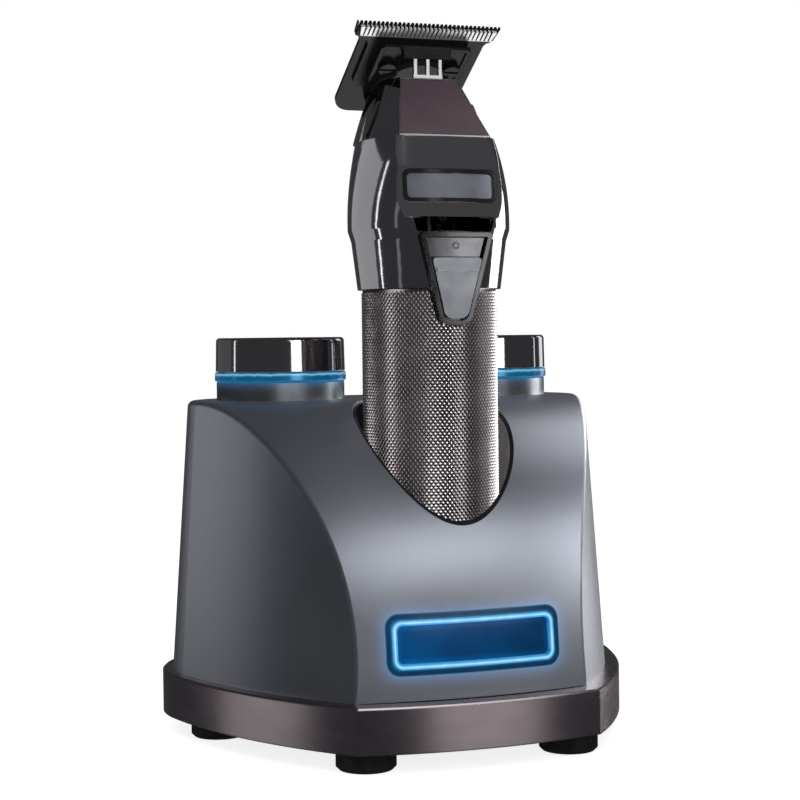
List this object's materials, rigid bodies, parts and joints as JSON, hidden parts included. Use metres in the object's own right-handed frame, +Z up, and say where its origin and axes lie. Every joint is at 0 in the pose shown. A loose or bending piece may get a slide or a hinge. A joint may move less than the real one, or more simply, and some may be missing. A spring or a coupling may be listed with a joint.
{
  "type": "hair clipper in charging dock",
  "caption": "Upright cordless T-blade hair clipper with knurled grip and smoked chrome head, standing in a lit charging dock with screw-capped jars behind it.",
  "frame": {"origin": "on the surface the dock stands on, under the middle of the dock's plinth", "axes": "+Z up; -Y is the front, with the lit window and the switch; +X to the right of someone facing the front"},
  "size_m": [0.1274, 0.1034, 0.1859],
  "materials": {
    "dock_paint": "satin blue-grey metallic",
    "dark_band": "brushed, dark violet-brown tint",
    "black_plastic": "fine texture",
    "black_rubber": "matt",
    "plated_steel": "zinc plated",
    "gold_contact": "gold plated",
    "lit_bead": "glows pale blue",
    "blue_lens": "deep blue, translucent",
    "circuit_board": "solder mask",
    "socket": "moulded",
    "jar_plastic": "clear to milky",
    "dark_chrome": "smoked chrome",
    "seal_foam": "soft",
    "knurled_steel": "diamond knurl",
    "cell_wrap": "shrink wrap",
    "tinted_cover": "smoked burgundy lacquer",
    "badge_dark": "black",
    "badge_grey": "grey-blue",
    "bright_chrome": "polished",
    "switch_grey": "satin metallic",
    "blade_black": "black coating",
    "blade_steel": "ground"
  },
  "bodies": {
    "dock": {"dock_shell": "dock_paint", "dock_plinth": "dark_band", "dock_floor": "black_plastic", "rubber_feet": "black_rubber", "floor_screws": "plated_steel", "clipper_pocket": "black_plastic", "contact_block": "black_plastic", "window_frame": "black_plastic", "window_light_guide": "lit_bead", "window_lens": "blue_lens", "window_light_board": "circuit_board", "main_board": "circuit_board", "dc_inlet": "socket", "ballast_weight": "plated_steel", "jar_collar_left": "black_plastic", "jar_collar_right": "black_plastic", "ring_light_left": "circuit_board", "ring_light_right": "circuit_board", "light_ring_left": "lit_bead", "light_ring_right": "lit_bead", "pin_spring_left": "plated_steel", "pin_spring_right": "plated_steel"},
    "contact_pin_left": {"charge_pin_left": "gold_contact"},
    "contact_pin_right": {"charge_pin_right": "gold_contact"},
    "jar_left": {"jar_left": "jar_plastic"},
    "jar_right": {"jar_right": "jar_plastic"},
    "seal_left": {"cap_seal_left": "seal_foam"},
    "seal_right": {"cap_seal_right": "seal_foam"},
    "cap_left": {"jar_cap_left": "dark_chrome"},
    "cap_right": {"jar_cap_right": "dark_chrome"},
    "switch": {"switch_slider": "switch_grey"},
    "rotor": {"motor_rotor": "plated_steel", "eccentric": "plated_steel"},
    "cutter": {"moving_blade": "blade_steel", "drive_yoke": "black_plastic"},
    "trimmer": {"inner_tube": "black_plastic", "end_cap": "black_plastic", "blade_base": "black_plastic", "side_clips": "black_plastic", "motor_can": "plated_steel", "motor_bearings": "plated_steel", "charge_contacts": "gold_contact", "control_board": "circuit_board", "micro_switch": "socket", "front_housing": "dark_chrome", "back_housing": "dark_chrome", "switch_bezel": "dark_chrome", "grip_sleeve": "knurled_steel", "battery_cell": "cell_wrap", "nose_cover": "tinted_cover", "badge_bezel": "badge_dark", "badge_plate": "badge_grey", "switch_indicator": "bright_chrome", "fixed_blade": "blade_black", "blade_guide": "blade_black", "blade_spring": "blade_steel", "blade_screws": "blade_steel", "mount_screws": "blade_steel"}
  },
  "joints": [
    {"name": "trimmer_lift", "type": "slide", "parent": "dock", "child": "trimmer", "axis": [0, 0, 1], "range_m": [0, 0.085]},
    {"name": "switch_slide", "type": "slide", "parent": "trimmer", "child": "switch", "axis": [0, -0.0617, 0.9981], "range_m": [0, 0.004]},
    {"name": "rotor_spin", "type": "hinge", "parent": "trimmer", "child": "rotor", "pos_m": [0, -0.0142, 0.1], "axis": [0, 0, 1], "continuous": true},
    {"name": "cutter_stroke", "type": "slide", "parent": "trimmer", "child": "cutter", "axis": [1, 0, 0], "range_m": [-0.0012, 0.0012]},
    {"name": "contact_pin_left_press", "type": "slide", "parent": "dock", "child": "contact_pin_left", "axis": [0, 0, 1], "range_m": [-0.0012, 0], "stiffness_N_per_m": 400, "springref_m": 0.001, "deforming": ["pin_spring_left"]},
    {"name": "jar_left_lift", "type": "slide", "parent": "dock", "child": "jar_left", "axis": [0, 0, 1], "range_m": [0, 0.055]},
    {"name": "cap_left_rise", "type": "slide", "parent": "jar_left", "child": "seal_left", "axis": [0, 0, 1], "range_m": [0, 0.0046]},
    {"name": "cap_left_turn", "type": "hinge", "parent": "seal_left", "child": "cap_left", "pos_m": [-0.0299, 0.0223, 0.1], "axis": [0, 0, 1], "range_deg": [0, 540]},
    {"name": "contact_pin_right_press", "type": "slide", "parent": "dock", "child": "contact_pin_right", "axis": [0, 0, 1], "range_m": [-0.0012, 0], "stiffness_N_per_m": 400, "springref_m": 0.001, "deforming": ["pin_spring_right"]},
    {"name": "jar_right_lift", "type": "slide", "parent": "dock", "child": "jar_right", "axis": [0, 0, 1], "range_m": [0, 0.055]},
    {"name": "cap_right_rise", "type": "slide", "parent": "jar_right", "child": "seal_right", "axis": [0, 0, 1], "range_m": [0, 0.0046]},
    {"name": "cap_right_turn", "type": "hinge", "parent": "seal_right", "child": "cap_right", "pos_m": [0.0299, 0.0223, 0.1], "axis": [0, 0, 1], "range_deg": [0, 540]}
  ],
  "couplings": [
    {"joint": "cap_left_rise", "follows": "cap_left_turn", "m_per_rad": 0.00047746},
    {"joint": "cap_right_rise", "follows": "cap_right_turn", "m_per_rad": 0.00047746}
  ]
}
